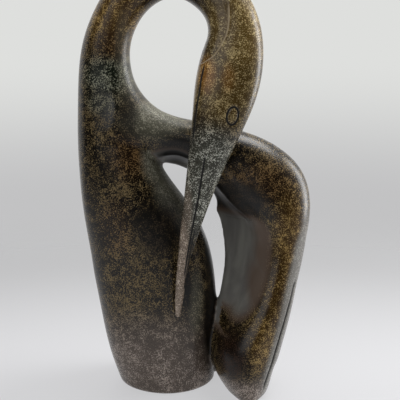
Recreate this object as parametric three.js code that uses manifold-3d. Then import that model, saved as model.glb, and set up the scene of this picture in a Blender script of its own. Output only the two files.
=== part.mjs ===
// A stone crane preening: one carved piece of polished and stippled stone. Its breast rises as a broad
// column, the neck arches over an open ring, and the long beak hangs in front of the breast. The back
// leaves the breast as a bar behind the head, and turns down into a wing that is hollowed inside and ends
// in a tail on the ground.
import * as THREE from "three";
import { mergeVertices } from "three/addons/utils/BufferGeometryUtils.js";
import Module from "manifold-3d";

// Driving sizes in millimetres. X runs to the right of the front view, Y runs to the back, Z is up from the
// ground, and a limb is drawn from its foot or root to its tip.
const FLOOR_SINK = 9; // how far a limb is drawn below the ground before it is sawn flat
const TRIM_SIZE = 500; // side of the block that saws the underside flat

// Breast, neck, head and beak in one line. Each station has the middle of the limb, half its width across the
// front view, and half its depth from front to back.
const NECK_STATIONS = [
  { name: "under the foot", x: -28.5, y: 0, z: -FLOOR_SINK, across: 42.5, deep: 39 },
  { name: "foot", x: -30.4, y: 0, z: 6, across: 44.2, deep: 39.5 },
  { name: "shin", x: -32.8, y: 0, z: 26, across: 48.3, deep: 39.5 },
  { name: "belly", x: -38, y: 0, z: 75, across: 53.2, deep: 39 },
  { name: "breast", x: -45, y: 0, z: 123, across: 54, deep: 37 },
  { name: "upper breast", x: -62.2, y: 0, z: 169, across: 43.6, deep: 34 },
  { name: "shoulder", x: -72.6, y: 0, z: 206, across: 34.6, deep: 30 },
  { name: "neck root", x: -76.8, y: 0, z: 242, across: 30.2, deep: 25.5 },
  { name: "lower neck", x: -81.2, y: 0, z: 277, across: 23.8, deep: 22 },
  { name: "neck", x: -80, y: -1, z: 303, across: 20.6, deep: 20.5 },
  { name: "neck bend", x: -70.6, y: -2, z: 329, across: 19, deep: 20 },
  { name: "rise of the arch", x: -51, y: -5, z: 352.8, across: 19.2, deep: 20 },
  { name: "top of the arch", x: -21.5, y: -10, z: 363, across: 18.8, deep: 20 },
  { name: "fall of the arch", x: 6.2, y: -17, z: 353, across: 19.2, deep: 20 },
  { name: "nape", x: 22.6, y: -23, z: 335, across: 20.2, deep: 20.5 },
  { name: "crown", x: 28.4, y: -28, z: 313, across: 22.8, deep: 20.5 },
  { name: "brow", x: 26.6, y: -32, z: 296, across: 25.6, deep: 20 },
  { name: "cheek", x: 21.8, y: -37, z: 273, across: 26.2, deep: 18.5 },
  { name: "eye", x: 16.4, y: -40.5, z: 251, across: 23.2, deep: 16.5 },
  { name: "bill root", x: 11.2, y: -42.5, z: 232, across: 19.4, deep: 14 },
  { name: "upper bill", x: 4.4, y: -44, z: 208, across: 15.2, deep: 11.5 },
  { name: "bill", x: -2.2, y: -44.5, z: 181, across: 11.4, deep: 9.5 },
  { name: "lower bill", x: -8.9, y: -44.5, z: 152, across: 8, deep: 7.5 },
  { name: "thin bill", x: -14.8, y: -43.5, z: 120, across: 5, deep: 5.5 },
  { name: "bill end", x: -18.5, y: -42, z: 88, across: 2.9, deep: 3.6 },
  { name: "bill tip", x: -19.6, y: -41.2, z: 74.5, across: 1.3, deep: 1.8 },
];

// Back, wing and tail in one line, from inside the breast to below the ground. Lean draws the back of a
// section towards the breast and its front away, by that share of the depth.
const WING_STATIONS = [
  { name: "inside the breast", x: -70, y: 2, z: 234, across: 30, deep: 22, lean: 0 },
  { name: "root of the back", x: -50, y: 2, z: 228.5, across: 26, deep: 22, lean: 0 },
  { name: "bar", x: -27, y: 2, z: 222.6, across: 22.2, deep: 22, lean: 0 },
  { name: "saddle", x: -3.6, y: 2, z: 215.5, across: 24.8, deep: 22.5, lean: 0 },
  { name: "back", x: 20.6, y: 2, z: 204, across: 31.5, deep: 24, lean: 0 },
  { name: "wing root", x: 39.5, y: 2, z: 190.5, across: 39, deep: 27, lean: 0 },
  { name: "wing bend", x: 50.5, y: 1, z: 176, across: 44.4, deep: 29.5, lean: 0 },
  { name: "wing shoulder", x: 56.4, y: 0, z: 159, across: 42.6, deep: 31.5, lean: 0 },
  { name: "upper wing", x: 57.8, y: -1, z: 141, across: 38.8, deep: 33, lean: 0 },
  { name: "wing", x: 57.2, y: -3, z: 121.5, across: 35.8, deep: 34, lean: 0 },
  { name: "lower wing", x: 54.2, y: -6, z: 103, across: 34.2, deep: 35.5, lean: 0.02 },
  { name: "tail root", x: 49.4, y: -10, z: 78, across: 33.4, deep: 37.5, lean: 0.05 },
  { name: "tail", x: 42.6, y: -15, z: 44, across: 32.8, deep: 40.5, lean: 0.06 },
  { name: "lower tail", x: 40.4, y: -18, z: 24, across: 28.8, deep: 42, lean: 0.04 },
  { name: "tail foot", x: 42.6, y: -20, z: 7, across: 21.6, deep: 42.5, lean: 0.02 },
  { name: "under the tail", x: 44, y: -21, z: -FLOOR_SINK, across: 14, deep: 42, lean: 0.0 },
];

// The web of stone that joins the breast and the tail near the ground, from below the ground to its top.
const WEB_STATIONS = [
  { name: "under the web", x: 17, y: 21, z: -FLOOR_SINK, across: 9, deep: 11 },
  { name: "foot of the web", x: 16.5, y: 18, z: 8, across: 9, deep: 12.5 },
  { name: "web", x: 15.5, y: 13, z: 34, across: 8, deep: 14 },
  { name: "upper web", x: 15, y: 9, z: 62, across: 6, deep: 11 },
  { name: "top of the web", x: 15, y: 7, z: 76, across: 2.5, deep: 5 },
];

// How square each side of a section is, at a share of the limb's length: 1 comes to a point, 2 is round, and
// more than 2 is boxy.
const NECK_CORNERS = [
  { at: 0, outer: 2, inner: 1.9, front: 1.9, back: 2 },
  { at: 0.14, outer: 2.1, inner: 2.5, front: 2.1, back: 2.1 },
  { at: 0.28, outer: 2.1, inner: 2.9, front: 2.2, back: 2.2 },
  { at: 0.42, outer: 2.1, inner: 2.3, front: 2.2, back: 2.2 },
  { at: 0.66, outer: 2.1, inner: 2.4, front: 2.3, back: 2.2 },
  { at: 0.78, outer: 2.2, inner: 3.4, front: 2.8, back: 2.3 },
  { at: 1, outer: 2.2, inner: 3.2, front: 2.6, back: 2.2 },
];
const WING_CORNERS = [
  { at: 0, outer: 2.1, inner: 2.1, front: 2.2, back: 2.1 },
  { at: 0.45, outer: 2.1, inner: 2.1, front: 2.1, back: 2.1 },
  { at: 0.72, outer: 2.1, inner: 1.9, front: 1.8, back: 2 },
  { at: 1, outer: 2.4, inner: 1.7, front: 1.2, back: 1.8 },
];

const WEB_CORNERS = [
  { at: 0, outer: 2, inner: 2, front: 2, back: 2 },
  { at: 1, outer: 2, inner: 2, front: 2, back: 2 },
];

// The hollow scooped out of the inner side of the wing, round its bend and from under the back: three eggs.
const WING_HOLLOW = { middle: [10, -56, 132], reach: [60, 60, 70] };
const BEND_HOLLOW = { middle: [-5, -43, 155], reach: [55, 51.5, 54] };
const BACK_HOLLOW = { middle: [-22, -30, 172], reach: [48, 44, 48] };

// Facets
const NECK_RINGS = 84;
const NECK_SIDES = 30;
const WING_RINGS = 42;
const WING_SIDES = 32;
const WEB_RINGS = 14;
const WEB_SIDES = 14;
const HOLLOW_SIDES = 40;
const HOLLOW_RINGS = 28;

// Finish
const STONE_COLOUR = 0x5a5042;
const STONE_ROUGHNESS = 0.45;

const TO_THE_BACK = new THREE.Vector3(0, 1, 0);

// A natural cubic spline through one value at each knot.
function splineThrough(knots, values) {
  const last = knots.length - 1;
  const step = (i) => knots[i + 1] - knots[i];
  const slope = (i) => (values[i + 1] - values[i]) / step(i);
  const bend = new Array(last + 1).fill(0);
  const share = new Array(last + 1).fill(0);
  for (let i = 1; i < last; i += 1) {
    const pivot = 2 * (step(i - 1) + step(i)) - step(i - 1) * share[i - 1];
    share[i] = step(i) / pivot;
    bend[i] = (6 * (slope(i) - slope(i - 1)) - step(i - 1) * bend[i - 1]) / pivot;
  }
  for (let i = last - 1; i > 0; i -= 1) {
    bend[i] -= share[i] * bend[i + 1];
  }
  return (at) => {
    let i = 0;
    while (i < last - 1 && at > knots[i + 1]) {
      i += 1;
    }
    const after = (at - knots[i]) / step(i);
    const before = 1 - after;
    const pull = (before ** 3 - before) * bend[i] + (after ** 3 - after) * bend[i + 1];
    return before * values[i] + after * values[i + 1] + (pull * step(i) ** 2) / 6;
  };
}

// Straight-line reading of a table whose rows have a share of the length in `at`.
function readCorners(rows, share) {
  let i = 0;
  while (i < rows.length - 2 && share > rows[i + 1].at) {
    i += 1;
  }
  const blend = THREE.MathUtils.clamp((share - rows[i].at) / (rows[i + 1].at - rows[i].at), 0, 1);
  const mix = (side) => THREE.MathUtils.lerp(rows[i][side], rows[i + 1][side], blend);
  return { outer: mix("outer"), inner: mix("inner"), front: mix("front"), back: mix("back") };
}

// Distance from the middle of a section to its edge, at an angle from the outer side towards the back.
function sectionReach(angle, across, deep, corners) {
  const side = Math.cos(angle);
  const depth = Math.sin(angle);
  const power =
    side * side * (side > 0 ? corners.outer : corners.inner) +
    depth * depth * (depth > 0 ? corners.back : corners.front);
  const sum = Math.abs(side / across) ** power + Math.abs(depth / deep) ** power;
  return sum ** (-1 / power);
}

// A limb's stations as smooth functions of the length along it.
function limbAlong(stations) {
  const knots = [0];
  for (let i = 1; i < stations.length; i += 1) {
    const gap = Math.hypot(
      stations[i].x - stations[i - 1].x,
      stations[i].y - stations[i - 1].y,
      stations[i].z - stations[i - 1].z,
    );
    knots.push(knots[i - 1] + gap);
  }
  const along = (field) => splineThrough(knots, stations.map((station) => station[field]));
  const [x, y, z, across, deep] = ["x", "y", "z", "across", "deep"].map(along);
  const lean = "lean" in stations[0] ? along("lean") : () => 0;
  return { length: knots.at(-1), middle: (at) => new THREE.Vector3(x(at), y(at), z(at)), across, deep, lean };
}

// One ring of points round a limb, square to its line.
function ringAt(limb, corners, at, sides) {
  const nudge = limb.length / 1000;
  const heading = limb.middle(at + nudge).sub(limb.middle(at - nudge)).normalize();
  const outward = heading.clone().cross(TO_THE_BACK).normalize();
  const backward = outward.clone().cross(heading);
  const sharpness = readCorners(corners, at / limb.length);
  const ring = [];
  for (let j = 0; j < sides; j += 1) {
    const angle = (2 * Math.PI * j) / sides;
    const reach = sectionReach(angle, limb.across(at), limb.deep(at), sharpness);
    const point = limb.middle(at);
    const depth = reach * Math.sin(angle);
    point.addScaledVector(outward, reach * Math.cos(angle) - limb.lean(at) * depth);
    point.addScaledVector(backward, depth);
    ring.push(point);
  }
  return ring;
}

// A closed skin through the rings of a limb, with both ends capped.
function limbGeometry(stations, corners, ringCount, sides) {
  const limb = limbAlong(stations);
  const positions = [];
  const faces = [];
  for (let i = 0; i <= ringCount; i += 1) {
    const ring = ringAt(limb, corners, (limb.length * i) / ringCount, sides);
    ring.forEach((point) => positions.push(point.x, point.y, point.z));
  }
  for (let i = 0; i < ringCount; i += 1) {
    for (let j = 0; j < sides; j += 1) {
      const here = i * sides + j;
      const next = i * sides + ((j + 1) % sides);
      faces.push(here, next + sides, next, here, here + sides, next + sides);
    }
  }
  const start = positions.length / 3;
  positions.push(...limb.middle(0).toArray(), ...limb.middle(limb.length).toArray());
  const lastRing = ringCount * sides;
  for (let j = 0; j < sides; j += 1) {
    const next = (j + 1) % sides;
    faces.push(start, j, next);
    faces.push(start + 1, lastRing + next, lastRing + j);
  }
  const geometry = new THREE.BufferGeometry();
  geometry.setAttribute("position", new THREE.Float32BufferAttribute(positions, 3));
  geometry.setIndex(faces);
  return geometry;
}

// The egg-shaped piece of stone that a hollow removes.
function hollowGeometry(hollow) {
  const geometry = new THREE.SphereGeometry(1, HOLLOW_SIDES, HOLLOW_RINGS);
  geometry.scale(...hollow.reach);
  geometry.translate(...hollow.middle);
  return geometry;
}

const wasm = await Module();
wasm.setup();

// A closed skin as a solid that can be joined and cut.
function solidFrom(geometry) {
  const bare = geometry.clone();
  bare.deleteAttribute("normal");
  bare.deleteAttribute("uv");
  const merged = mergeVertices(bare);
  const vertProperties = new Float32Array(merged.attributes.position.array);
  const triVerts = new Uint32Array(merged.index.array);
  return new wasm.Manifold(new wasm.Mesh({ numProp: 3, vertProperties, triVerts }));
}

// A solid's skin as a geometry.
function geometryFrom(solid) {
  const skin = solid.getMesh();
  const geometry = new THREE.BufferGeometry();
  geometry.setAttribute("position", new THREE.Float32BufferAttribute(skin.vertProperties, 3));
  geometry.setIndex(new THREE.Uint32BufferAttribute(skin.triVerts, 1));
  return geometry;
}

// The whole bird: the wing is hollowed and joined to the breast and neck, and the underside is sawn flat.
function craneGeometry() {
  const neck = solidFrom(limbGeometry(NECK_STATIONS, NECK_CORNERS, NECK_RINGS, NECK_SIDES));
  const fullWing = solidFrom(limbGeometry(WING_STATIONS, WING_CORNERS, WING_RINGS, WING_SIDES));
  const wing = [WING_HOLLOW, BEND_HOLLOW, BACK_HOLLOW].reduce(
    (carved, hollow) => carved.subtract(solidFrom(hollowGeometry(hollow))),
    fullWing,
  );
  const web = solidFrom(limbGeometry(WEB_STATIONS, WEB_CORNERS, WEB_RINGS, WEB_SIDES));
  const ground = new THREE.BoxGeometry(TRIM_SIZE, TRIM_SIZE, TRIM_SIZE);
  ground.translate(0, 0, -TRIM_SIZE / 2);
  return geometryFrom(neck.add(wing).add(web).subtract(solidFrom(ground)));
}

// The origin is on the ground, under the middle of the bird's box.
function centredOnGround(geometry) {
  geometry.computeBoundingBox();
  const middle = geometry.boundingBox.getCenter(new THREE.Vector3());
  geometry.translate(-middle.x, -middle.y, -geometry.boundingBox.min.z);
  return geometry;
}

const stone = new THREE.MeshStandardMaterial({
  color: STONE_COLOUR,
  roughness: STONE_ROUGHNESS,
  metalness: 0,
  flatShading: true,
});

const sculpture = new THREE.Group();
const crane = new THREE.Mesh(centredOnGround(craneGeometry()), stone);
crane.name = "crane";
sculpture.add(crane);

export default sculpture;
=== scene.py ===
"""A carved stone crane preening, dressed in its speckled and polished stone.

The bird is one carved block, so it is one piece. Its skin is worked out as a field: the trunk, the head, the
wing and the web at the ground are limbs drawn along smooth lines. They blend where the carver rounded the
joints, the wing is hollowed, and the foot is sawn flat. A mesh is fitted to that field. The eye, the bill's
mouth, the cheek line, the crest and the wing's groove are cut into it, and the patches of stone laid on it,
with painted shade, painted sheen and painted highlights laid in among them.
"""

import logging
import math
from collections.abc import Callable, Sequence
from dataclasses import dataclass, field
from enum import Enum

import bmesh
import bpy
import numpy as np
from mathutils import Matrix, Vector


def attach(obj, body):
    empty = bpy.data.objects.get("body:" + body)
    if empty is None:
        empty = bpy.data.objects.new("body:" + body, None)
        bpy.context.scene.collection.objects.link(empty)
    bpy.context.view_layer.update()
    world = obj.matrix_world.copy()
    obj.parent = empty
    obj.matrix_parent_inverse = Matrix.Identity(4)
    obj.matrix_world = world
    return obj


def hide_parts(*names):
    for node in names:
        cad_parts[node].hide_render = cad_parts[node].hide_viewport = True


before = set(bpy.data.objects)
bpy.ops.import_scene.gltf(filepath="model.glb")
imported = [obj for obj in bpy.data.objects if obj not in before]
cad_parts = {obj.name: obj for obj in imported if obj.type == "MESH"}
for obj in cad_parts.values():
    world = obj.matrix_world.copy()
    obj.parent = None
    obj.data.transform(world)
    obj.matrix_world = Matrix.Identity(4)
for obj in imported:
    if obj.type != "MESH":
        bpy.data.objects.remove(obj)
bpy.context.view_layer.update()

# Short names for the types that come up most.
Array = np.ndarray
Pair = tuple[float, float]
Triple = tuple[float, float, float]
Colour = tuple[float, float, float, float]

LOG = logging.getLogger("crane")
BODY = "root"
NODE = "crane"
MM = 0.001

# The drawing below is in millimetres, from its own zero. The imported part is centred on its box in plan, and
# this is where the middle of that box lies in the drawing.
BOX_MIDDLE = np.array([-4.381, -11.7175, 0.0])
FLOOR_SINK = 9.0
TO_THE_BACK = np.array([0.0, 1.0, 0.0])
FAR_OUTSIDE = 60.0
TINY = 1e-6


def smoothstep(values: Array, low: float, high: float) -> Array:
    """Rises smoothly from 0 at low to 1 at high, or falls where low is the higher."""
    share = np.clip((values - low) / (high - low), 0, 1)
    return share * share * (3 - 2 * share)


def hump(values: Array, middle: float, width: float) -> Array:
    """A smooth hump that is 1 at its middle and fades out on both sides."""
    return np.exp(-(((values - middle) / width) ** 2))


def blended_min(first: Array, second: Array, reach: float | Array) -> Array:
    """Joins two fields, with a fillet where they are less than reach apart."""
    overlap = np.clip(reach - np.abs(first - second), 0, None) / np.maximum(reach, TINY)
    return np.minimum(first, second) - overlap * overlap * reach / 4


def blended_max(first: Array, second: Array, reach: float | Array) -> Array:
    """Keeps what lies in both fields, with a rounded edge where they are less than reach apart."""
    return -blended_min(-first, -second, reach)


def place_object(name: str, data: bpy.types.ID) -> bpy.types.Object:
    """Makes an object of its data and puts it in the scene."""
    made = bpy.data.objects.new(name, data)
    bpy.context.scene.collection.objects.link(made)
    return made


class Spline:
    """A natural cubic spline through one value at each knot."""

    def __init__(self, knots: Array, values: Array) -> None:
        """Solves for the bends.

        Args:
            knots: Rising positions along the line.
            values: The value at each knot.
        """
        self.knots = knots
        self.values = values
        last = len(knots) - 1
        step = np.diff(knots)
        slope = np.diff(values) / step
        system = np.eye(last + 1)
        target = np.zeros(last + 1)
        for i in range(1, last):
            system[i, i - 1 : i + 2] = step[i - 1], 2 * (step[i - 1] + step[i]), step[i]
            target[i] = 6 * (slope[i] - slope[i - 1])
        self.bends = np.linalg.solve(system, target)

    def __call__(self, at: Array) -> Array:
        """Reads the spline.

        Args:
            at: Positions along the line.

        Returns:
            The value at each position.
        """
        i = np.clip(np.searchsorted(self.knots, at) - 1, 0, len(self.knots) - 2)
        step = self.knots[i + 1] - self.knots[i]
        after = (at - self.knots[i]) / step
        before = 1 - after
        pull = (before**3 - before) * self.bends[i] + (after**3 - after) * self.bends[i + 1]
        return before * self.values[i] + after * self.values[i + 1] + pull * step**2 / 6


@dataclass(frozen=True)
class Station:
    """One station of a limb: its middle, half its width in the front view, half its depth, and its lean."""

    name: str
    x: float
    y: float
    z: float
    across: float
    deep: float
    lean: float = 0.0


@dataclass(frozen=True)
class Corners:
    """How square each side of a section is: 1 comes to a point, 2 is round, and more than 2 is boxy."""

    at: float
    outer: float
    inner: float
    front: float
    back: float


class Limb:
    """A limb drawn through stations, or a stretch of one, as a field that is below zero inside it."""

    SAMPLES = 500
    END_SAMPLES = 3
    MARGIN = 26.0
    CHUNK = 40000

    def __init__(
        self,
        stations: Sequence[Station],
        corners: Sequence[Corners],
        stretch: Pair = (0.0, 1.0),
    ) -> None:
        """Samples the limb's line, sizes and squareness.

        Args:
            stations: The limb's stations from its root to its tip.
            corners: How square its sections are along it.
            stretch: The shares of the length where this stretch starts and ends.
        """
        middles = np.array([[s.x, s.y, s.z] for s in stations])
        gaps = np.linalg.norm(np.diff(middles, axis=0), axis=1)
        knots = np.concatenate([[0.0], np.cumsum(gaps)])
        shares = np.linspace(stretch[0], stretch[1], self.SAMPLES)
        at = shares * knots[-1]
        self.spacing = at[1] - at[0]
        lines = [Spline(knots, middles[:, axis]) for axis in range(3)]
        nudge = knots[-1] / 1000
        heading = np.stack([line(at + nudge) - line(at - nudge) for line in lines], axis=1)
        self.heading = heading / np.linalg.norm(heading, axis=1, keepdims=True)
        outward = np.cross(self.heading, TO_THE_BACK)
        self.outward = outward / np.linalg.norm(outward, axis=1, keepdims=True)
        self.backward = np.cross(self.outward, self.heading)
        self.middle = np.stack([line(at) for line in lines], axis=1)
        sizes = [
            Spline(knots, np.array([getattr(station, name) for station in stations]))
            for name in ("across", "deep", "lean")
        ]
        marks = [c.at for c in corners]
        sides = [
            np.interp(shares, marks, [getattr(c, side) for c in corners])
            for side in ("outer", "inner", "front", "back")
        ]
        self.table = np.stack([size(at) for size in sizes] + sides, axis=1)
        reach = self.table[:, :2].max(axis=1, keepdims=True) + self.MARGIN
        self.low = (self.middle - reach).min(axis=0)
        self.high = (self.middle + reach).max(axis=0)

    def nearest(self, points: Array) -> Array:
        """Finds where along the samples each point lies.

        Args:
            points: Points in the drawing.

        Returns:
            The position among the samples, with its fraction.
        """
        squares = (self.middle**2).sum(axis=1) / 2
        found = np.empty(len(points), dtype=np.int64)
        for start in range(0, len(points), self.CHUNK):
            part = points[start : start + self.CHUNK]
            found[start : start + self.CHUNK] = np.argmin(squares - part @ self.middle.T, axis=1)
        ahead = ((points - self.middle[found]) * self.heading[found]).sum(axis=1)
        return np.clip(found + ahead / self.spacing, 0, self.SAMPLES - 1.001)

    def section(self, points: Array) -> tuple[Array, Array]:
        """Reads where points lie in the limb's own sections.

        Args:
            points: Points in the drawing.

        Returns:
            The angle in the section from the outer side towards the back, and the field.
        """
        position = self.nearest(points)
        low = position.astype(np.int64)
        blend = (position - low)[:, None]

        def read(table: Array) -> Array:
            return table[low] * (1 - blend) + table[low + 1] * blend

        offset = points - read(self.middle)
        across, deep, lean, outer, inner, front, back = read(self.table).T
        depth = (offset * read(self.backward)).sum(axis=1)
        side = (offset * read(self.outward)).sum(axis=1) + lean * depth
        distance = np.hypot(side, depth)
        angle = np.arctan2(depth, side)
        cosine = np.cos(angle)
        sine = np.sin(angle)
        power = cosine**2 * np.where(cosine > 0, outer, inner) + sine**2 * np.where(sine > 0, back, front)
        edge = (np.abs(cosine / across) ** power + np.abs(sine / deep) ** power) ** (-1 / power)
        at_start = ((points - self.middle[0]) * self.heading[0]).sum(axis=1)
        at_end = ((points - self.middle[-1]) * self.heading[-1]).sum(axis=1)
        by_end = np.where(low >= self.SAMPLES - self.END_SAMPLES, at_end, -FAR_OUTSIDE)
        cap = np.where(low < self.END_SAMPLES - 1, -at_start, by_end)
        return angle, np.maximum(distance - edge, cap)

    def field(self, points: Array) -> Array:
        """The limb's field, worked out only near it.

        Args:
            points: Points in the drawing.

        Returns:
            About the distance to its skin in millimetres, below zero inside.
        """
        values = np.full(len(points), FAR_OUTSIDE)
        near = np.all((points > self.low) & (points < self.high), axis=1)
        values[near] = self.section(points[near])[1]
        return values


@dataclass(frozen=True)
class Egg:
    """An egg-shaped piece of stone that a hollow removes."""

    middle: Triple
    reach: Triple

    def field(self, points: Array) -> Array:
        """About the distance to the egg's skin, below zero inside."""
        offset = (points - np.array(self.middle)) / np.array(self.reach)
        size = np.linalg.norm(offset, axis=1)
        steepness = np.linalg.norm(offset / np.array(self.reach), axis=1)
        return size * (size - 1) / np.maximum(steepness, TINY)


@dataclass
class CraneForm:
    """The bird's shape: its limbs, its hollows and how softly they meet."""

    neck_stations: tuple[Station, ...] = (
        Station("under the foot", -28.5, 0, -FLOOR_SINK, 42.5, 39),
        Station("foot", -30.4, 0, 6, 44.2, 39.5),
        Station("shin", -32.8, 0, 26, 48.3, 39.5),
        Station("belly", -38, 0, 75, 53.2, 39),
        Station("breast", -46, 0, 123, 53, 37),
        Station("upper breast", -62.9, 0, 169, 42.9, 34),
        Station("shoulder", -72.6, 0, 206, 34.6, 30),
        Station("neck root", -76.8, 0, 242, 30.2, 25.5),
        Station("lower neck", -81.2, 0, 277, 23.8, 22),
        Station("neck", -80, -1, 303, 20.6, 20.5),
        Station("neck bend", -70.6, -2, 329, 19, 20),
        Station("rise of the arch", -51, -5, 352.8, 19.2, 20),
        Station("top of the arch", -21.5, -10, 363, 18.8, 20),
        Station("fall of the arch", 6.2, -17, 353, 19.2, 20),
        Station("nape", 22.6, -23, 335, 20.2, 20.5),
        Station("crown", 28.4, -28, 313, 22.8, 20.5),
        Station("brow", 26.6, -32, 296, 25.6, 20),
        Station("cheek", 21.8, -37, 273, 26.2, 18.5),
        Station("eye", 16.4, -40.5, 251, 23.2, 16.5),
        Station("bill root", 11.2, -42.5, 232, 19.4, 14),
        Station("upper bill", 4.4, -44, 208, 15.2, 11.5),
        Station("bill", -2.2, -44.5, 181, 11.4, 9.5),
        Station("lower bill", -8.9, -44.5, 152, 8, 7.5),
        Station("thin bill", -14.8, -43.5, 120, 5, 5.5),
        Station("bill end", -18.3, -42, 88, 3.6, 3.8),
        Station("bill tip", -19.1, -41.2, 74.5, 2.3, 2.4),
    )
    wing_stations: tuple[Station, ...] = (
        Station("inside the breast", -70, 2, 234, 30, 22),
        Station("root of the back", -50, 2, 228.5, 26, 22),
        Station("bar", -27, 2, 222.6, 22.2, 22),
        Station("saddle", -3.6, 2, 215.5, 24.8, 22.5),
        Station("back", 20.6, 2, 204, 31.5, 24),
        Station("wing root", 39.5, 2, 190.5, 39, 27),
        Station("wing bend", 50, 1, 176, 44.9, 29.5),
        Station("wing shoulder", 55.4, 0, 159, 43.6, 31.5),
        Station("upper wing", 56.9, -1, 141, 39.7, 33),
        Station("wing", 56.8, -3, 121.5, 36.2, 34),
        Station("lower wing", 54.6, -6, 103, 33.8, 35.5, 0.02),
        Station("tail root", 50, -10, 78, 32.8, 37.5, 0.05),
        Station("tail", 42, -15, 44, 31.4, 40.5, 0.06),
        Station("lower tail", 40, -18, 24, 28.6, 42, 0.04),
        Station("tail foot", 41.8, -20, 7, 21.8, 42.5, 0.02),
        Station("under the tail", 42.4, -21, -FLOOR_SINK, 14, 42),
    )
    web_stations: tuple[Station, ...] = (
        Station("under the web", 17, 21, -FLOOR_SINK, 9, 11),
        Station("foot of the web", 16.5, 18, 8, 9, 12.5),
        Station("web", 15.5, 13, 34, 8, 14),
        Station("upper web", 15, 9, 57, 6, 11),
        Station("top of the web", 15, 7, 69, 2.5, 5),
    )
    neck_corners: tuple[Corners, ...] = (
        Corners(0, 2, 1.9, 1.9, 2),
        Corners(0.14, 2.1, 2.1, 2.1, 2.1),
        Corners(0.28, 2.1, 2, 2.1, 2.2),
        Corners(0.42, 2.1, 2.2, 2.2, 2.2),
        Corners(0.66, 2.1, 2.4, 2.3, 2.2),
        Corners(0.78, 2.2, 2.8, 2.4, 2.3),
        Corners(1, 2.2, 2.8, 2.4, 2.2),
    )
    wing_corners: tuple[Corners, ...] = (
        Corners(0, 2.1, 2.1, 2.2, 2.1),
        Corners(0.45, 2.1, 2.1, 2.1, 2.1),
        Corners(0.72, 2.1, 1.95, 1.95, 2),
        Corners(0.9, 2.3, 1.9, 1.8, 1.9),
        Corners(1, 2.4, 1.7, 1.2, 1.8),
    )
    web_corners: tuple[Corners, ...] = (Corners(0, 2, 2, 2, 2), Corners(1, 2, 2, 2, 2))
    hollows: tuple[Egg, ...] = (
        Egg((6, -56, 132), (53, 60, 70)),
        Egg((-7, -43, 154), (54, 51, 52)),
        Egg((-22, -30, 172), (48, 44, 48)),
    )
    arch_split: float = 0.545
    split_overlap: float = 0.012
    shoulder_fillet: float = 17.0
    shoulder_heights: Pair = (212.0, 238.0)
    rim_places: Pair = (-6.0, -22.0)
    seam_fillet: float = 5.0
    roof_height: float = 166.0
    roof_rise: float = 56.0
    roof_run: Pair = (36.0, -26.0)
    roof_front: float = -33.0
    roof_slope: float = 0.45
    roof_round: float = 42.0
    inset: float = 0.25
    web_fillet: float = 8.0
    hollow_blend: float = 30.0
    rim_round: float = 26.0
    edge_round: float = 3.0
    foot_round: float = 3.5
    sole: float = 0.05
    nudge: float = 0.35
    settle_rounds: int = 2
    settle_step: float = 1.4

    def __post_init__(self) -> None:
        """Draws the limbs."""
        upto = self.arch_split + self.split_overlap
        since = self.arch_split - self.split_overlap
        self.trunk = Limb(self.neck_stations, self.neck_corners, (0.0, upto))
        self.head = Limb(self.neck_stations, self.neck_corners, (since, 1.0))
        self.wing = Limb(self.wing_stations, self.wing_corners)
        self.web = Limb(self.web_stations, self.web_corners)

    def hollow_field(self, points: Array) -> Array:
        """The eggs that hollow the wing, blended into one scoop, under the roof that the shoulder keeps."""
        values = self.hollows[0].field(points)
        for egg in self.hollows[1:]:
            values = blended_min(values, egg.field(points), self.hollow_blend)
        roof = self.roof_height + self.roof_rise * smoothstep(points[:, 0], *self.roof_run)
        above = points[:, 2] - roof - self.roof_slope * (points[:, 1] - self.roof_front)
        return blended_max(values, above / math.hypot(1, self.roof_slope), self.roof_round)

    def rest_field(self, points: Array) -> Array:
        """The bird without its head and bill, not yet sawn flat.

        Args:
            points: Points in the drawing.

        Returns:
            The field at each point.
        """
        forward = smoothstep(points[:, 1], *self.rim_places)
        softness = self.edge_round + (self.rim_round - self.edge_round) * forward
        wing = blended_max(self.wing.field(points), -self.hollow_field(points), softness)
        risen = smoothstep(points[:, 2], *self.shoulder_heights)
        fillet = self.seam_fillet + (self.shoulder_fillet - self.seam_fillet) * risen
        body = blended_min(self.trunk.field(points), wing, fillet)
        return blended_min(body, self.web.field(points), self.web_fillet)

    def field(self, points: Array) -> Array:
        """The whole bird's field: about the distance to its skin in millimetres, below zero inside."""
        bird = np.minimum(self.rest_field(points), self.head.field(points)) + self.inset
        return blended_max(bird, self.sole - points[:, 2], self.foot_round)

    def normals(self, points: Array) -> Array:
        """Finds the direction in which the field rises fastest.

        Args:
            points: Points near the skin.

        Returns:
            Unit vectors pointing out of the stone.
        """
        gradient = np.zeros_like(points)
        for corner in ((1, -1, -1), (-1, -1, 1), (-1, 1, -1), (1, 1, 1)):
            gradient += np.outer(self.field(points + self.nudge * np.array(corner)), corner)
        return gradient / np.maximum(np.linalg.norm(gradient, axis=1, keepdims=True), TINY)

    def settle(self, points: Array) -> Array:
        """Moves points onto the skin in a few rounds.

        Args:
            points: Points near the skin.

        Returns:
            The points on the skin.
        """
        for _ in range(self.settle_rounds):
            step = np.clip(self.field(points), -self.settle_step, self.settle_step)
            points = points - self.normals(points) * step[:, None]
        return points


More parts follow.
